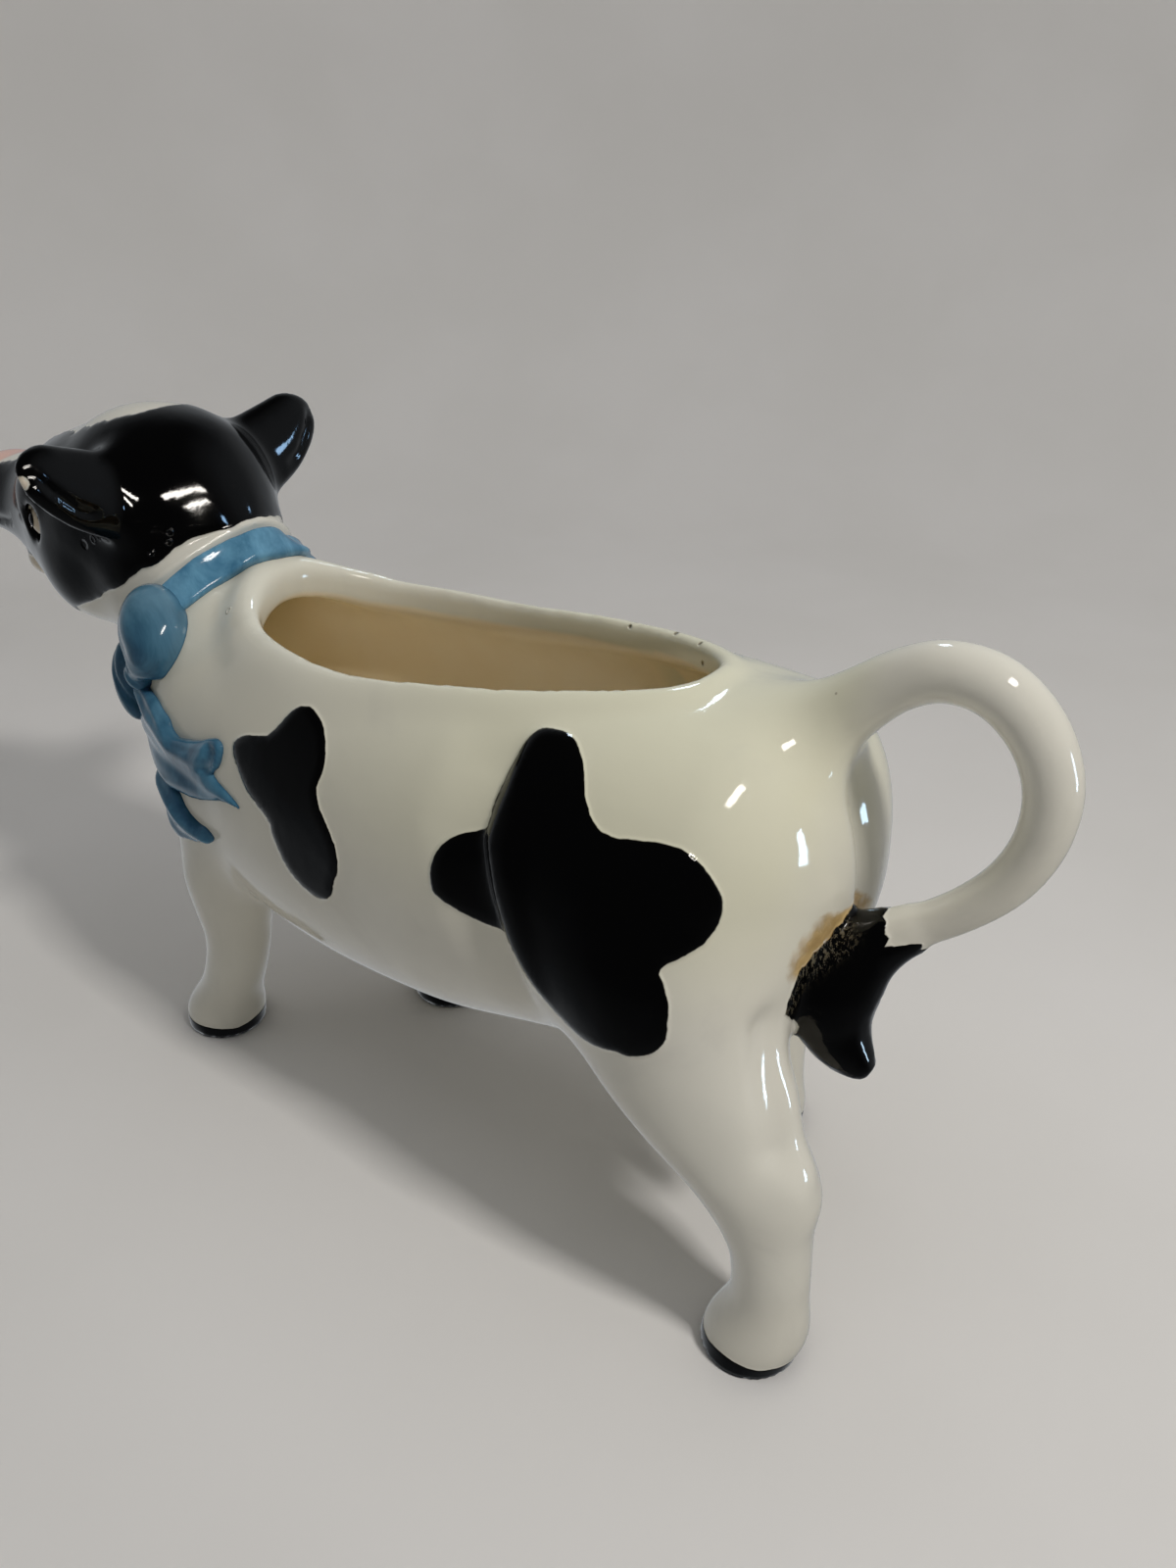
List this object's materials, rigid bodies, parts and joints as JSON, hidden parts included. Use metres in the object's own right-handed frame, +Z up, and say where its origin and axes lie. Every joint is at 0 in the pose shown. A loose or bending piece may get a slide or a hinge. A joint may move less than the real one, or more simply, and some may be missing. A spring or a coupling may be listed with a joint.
{
  "type": "cow creamer",
  "caption": "Glazed ceramic creamer shaped as a walking cow with an open oval filling hole in its back, a spout at the mouth and its tail curled into a handle.",
  "frame": {"origin": "on the standing surface, below the middle of the creamer's bounding box", "axes": "+Z up, -X towards the nose, +X towards the tail handle, +Y towards the cow's right side"},
  "size_m": [0.2102, 0.0626, 0.1124],
  "materials": {
    "white_glaze": "thick warm white gloss glaze, cream inside",
    "black_glaze": "hand-painted black gloss glaze",
    "blue_glaze": "hand-painted blue gloss glaze, darker in its creases"
  },
  "bodies": {
    "root": {"body_shell": "white_glaze", "head_shell": "black_glaze", "ear_left": "black_glaze", "ear_right": "black_glaze", "leg_front_left": "white_glaze", "leg_front_right": "white_glaze", "leg_hind_left": "white_glaze", "leg_hind_right": "white_glaze", "tail_handle": "white_glaze", "tail_tuft": "black_glaze", "neck_ribbon": "blue_glaze", "bow_knot": "blue_glaze", "bow_loop_upper": "blue_glaze", "bow_loop_lower": "blue_glaze", "ribbon_end_upper": "blue_glaze", "ribbon_end_lower": "blue_glaze"}
  },
  "joints": []
}
